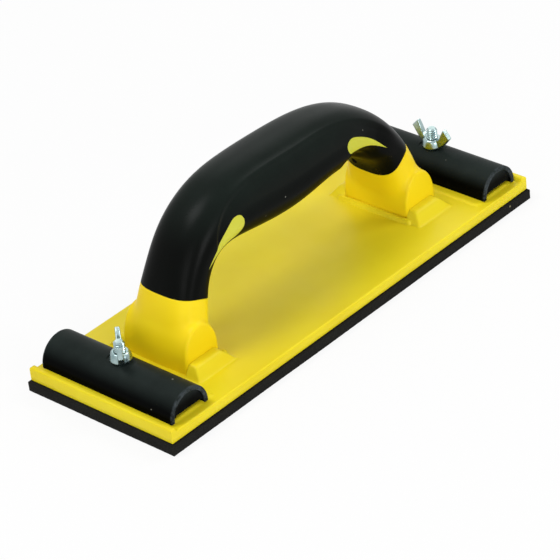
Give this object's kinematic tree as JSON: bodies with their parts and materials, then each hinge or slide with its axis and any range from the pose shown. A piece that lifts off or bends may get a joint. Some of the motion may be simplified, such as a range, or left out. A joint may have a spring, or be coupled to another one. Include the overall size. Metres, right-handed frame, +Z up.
{
  "type": "hand sanding block",
  "caption": "Rectangular hand sander: foam-faced plate with an arched two-colour handle and a half-round wing-nut clamp at each end that grips the abrasive sheet.",
  "frame": {"origin": "centre of the foam's underside, the face that lies on the work", "axes": "+X along the length towards the rear clamp, +Y across the width, +Z up towards the handle"},
  "size_m": [0.236, 0.083, 0.0794],
  "materials": {
    "pad_foam": "closed-cell foam, flat black, finely pitted",
    "adhesive_film": "thin double-sided film",
    "yellow_plastic": "moulded yellow plastic, satin, faint flow and sink marks",
    "grip_rubber": "soft-touch overmould, satin charcoal",
    "clamp_plastic": "satin black plastic, worn paler along the ends",
    "zinc_steel": "bright zinc plate with a faint blue-green cast",
    "screw_steel": "plain zinc-plated screw"
  },
  "bodies": {
    "block": {"base_plate": "yellow_plastic", "foam_pad": "pad_foam", "pad_adhesive": "adhesive_film", "handle_core": "yellow_plastic", "grip": "grip_rubber", "handle_screws": "screw_steel", "front_bolt": "zinc_steel", "rear_bolt": "zinc_steel"},
    "front_clamp_body": {"front_clamp": "clamp_plastic"},
    "rear_clamp_body": {"rear_clamp": "clamp_plastic"},
    "front_nut_body": {"front_wing_nut": "zinc_steel"},
    "rear_nut_body": {"rear_wing_nut": "zinc_steel"}
  },
  "joints": [
    {"name": "front_clamp_lift", "type": "slide", "parent": "block", "child": "front_clamp_body", "axis": [0, 0, 1], "range_m": [0, 0.00423]},
    {"name": "front_nut_turn", "type": "hinge", "parent": "front_clamp_body", "child": "front_nut_body", "pos_m": [-0.1018, 0, 0.022], "axis": [0, 0, 1], "range_deg": [0, 1440]},
    {"name": "rear_clamp_lift", "type": "slide", "parent": "block", "child": "rear_clamp_body", "axis": [0, 0, 1], "range_m": [0, 0.00423]},
    {"name": "rear_nut_turn", "type": "hinge", "parent": "rear_clamp_body", "child": "rear_nut_body", "pos_m": [0.1018, 0, 0.022], "axis": [0, 0, 1], "range_deg": [0, 1440]}
  ],
  "couplings": [
    {"joint": "front_clamp_lift", "follows": "front_nut_turn", "m_per_rad": 0.00016843},
    {"joint": "rear_clamp_lift", "follows": "rear_nut_turn", "m_per_rad": 0.00016843}
  ]
}
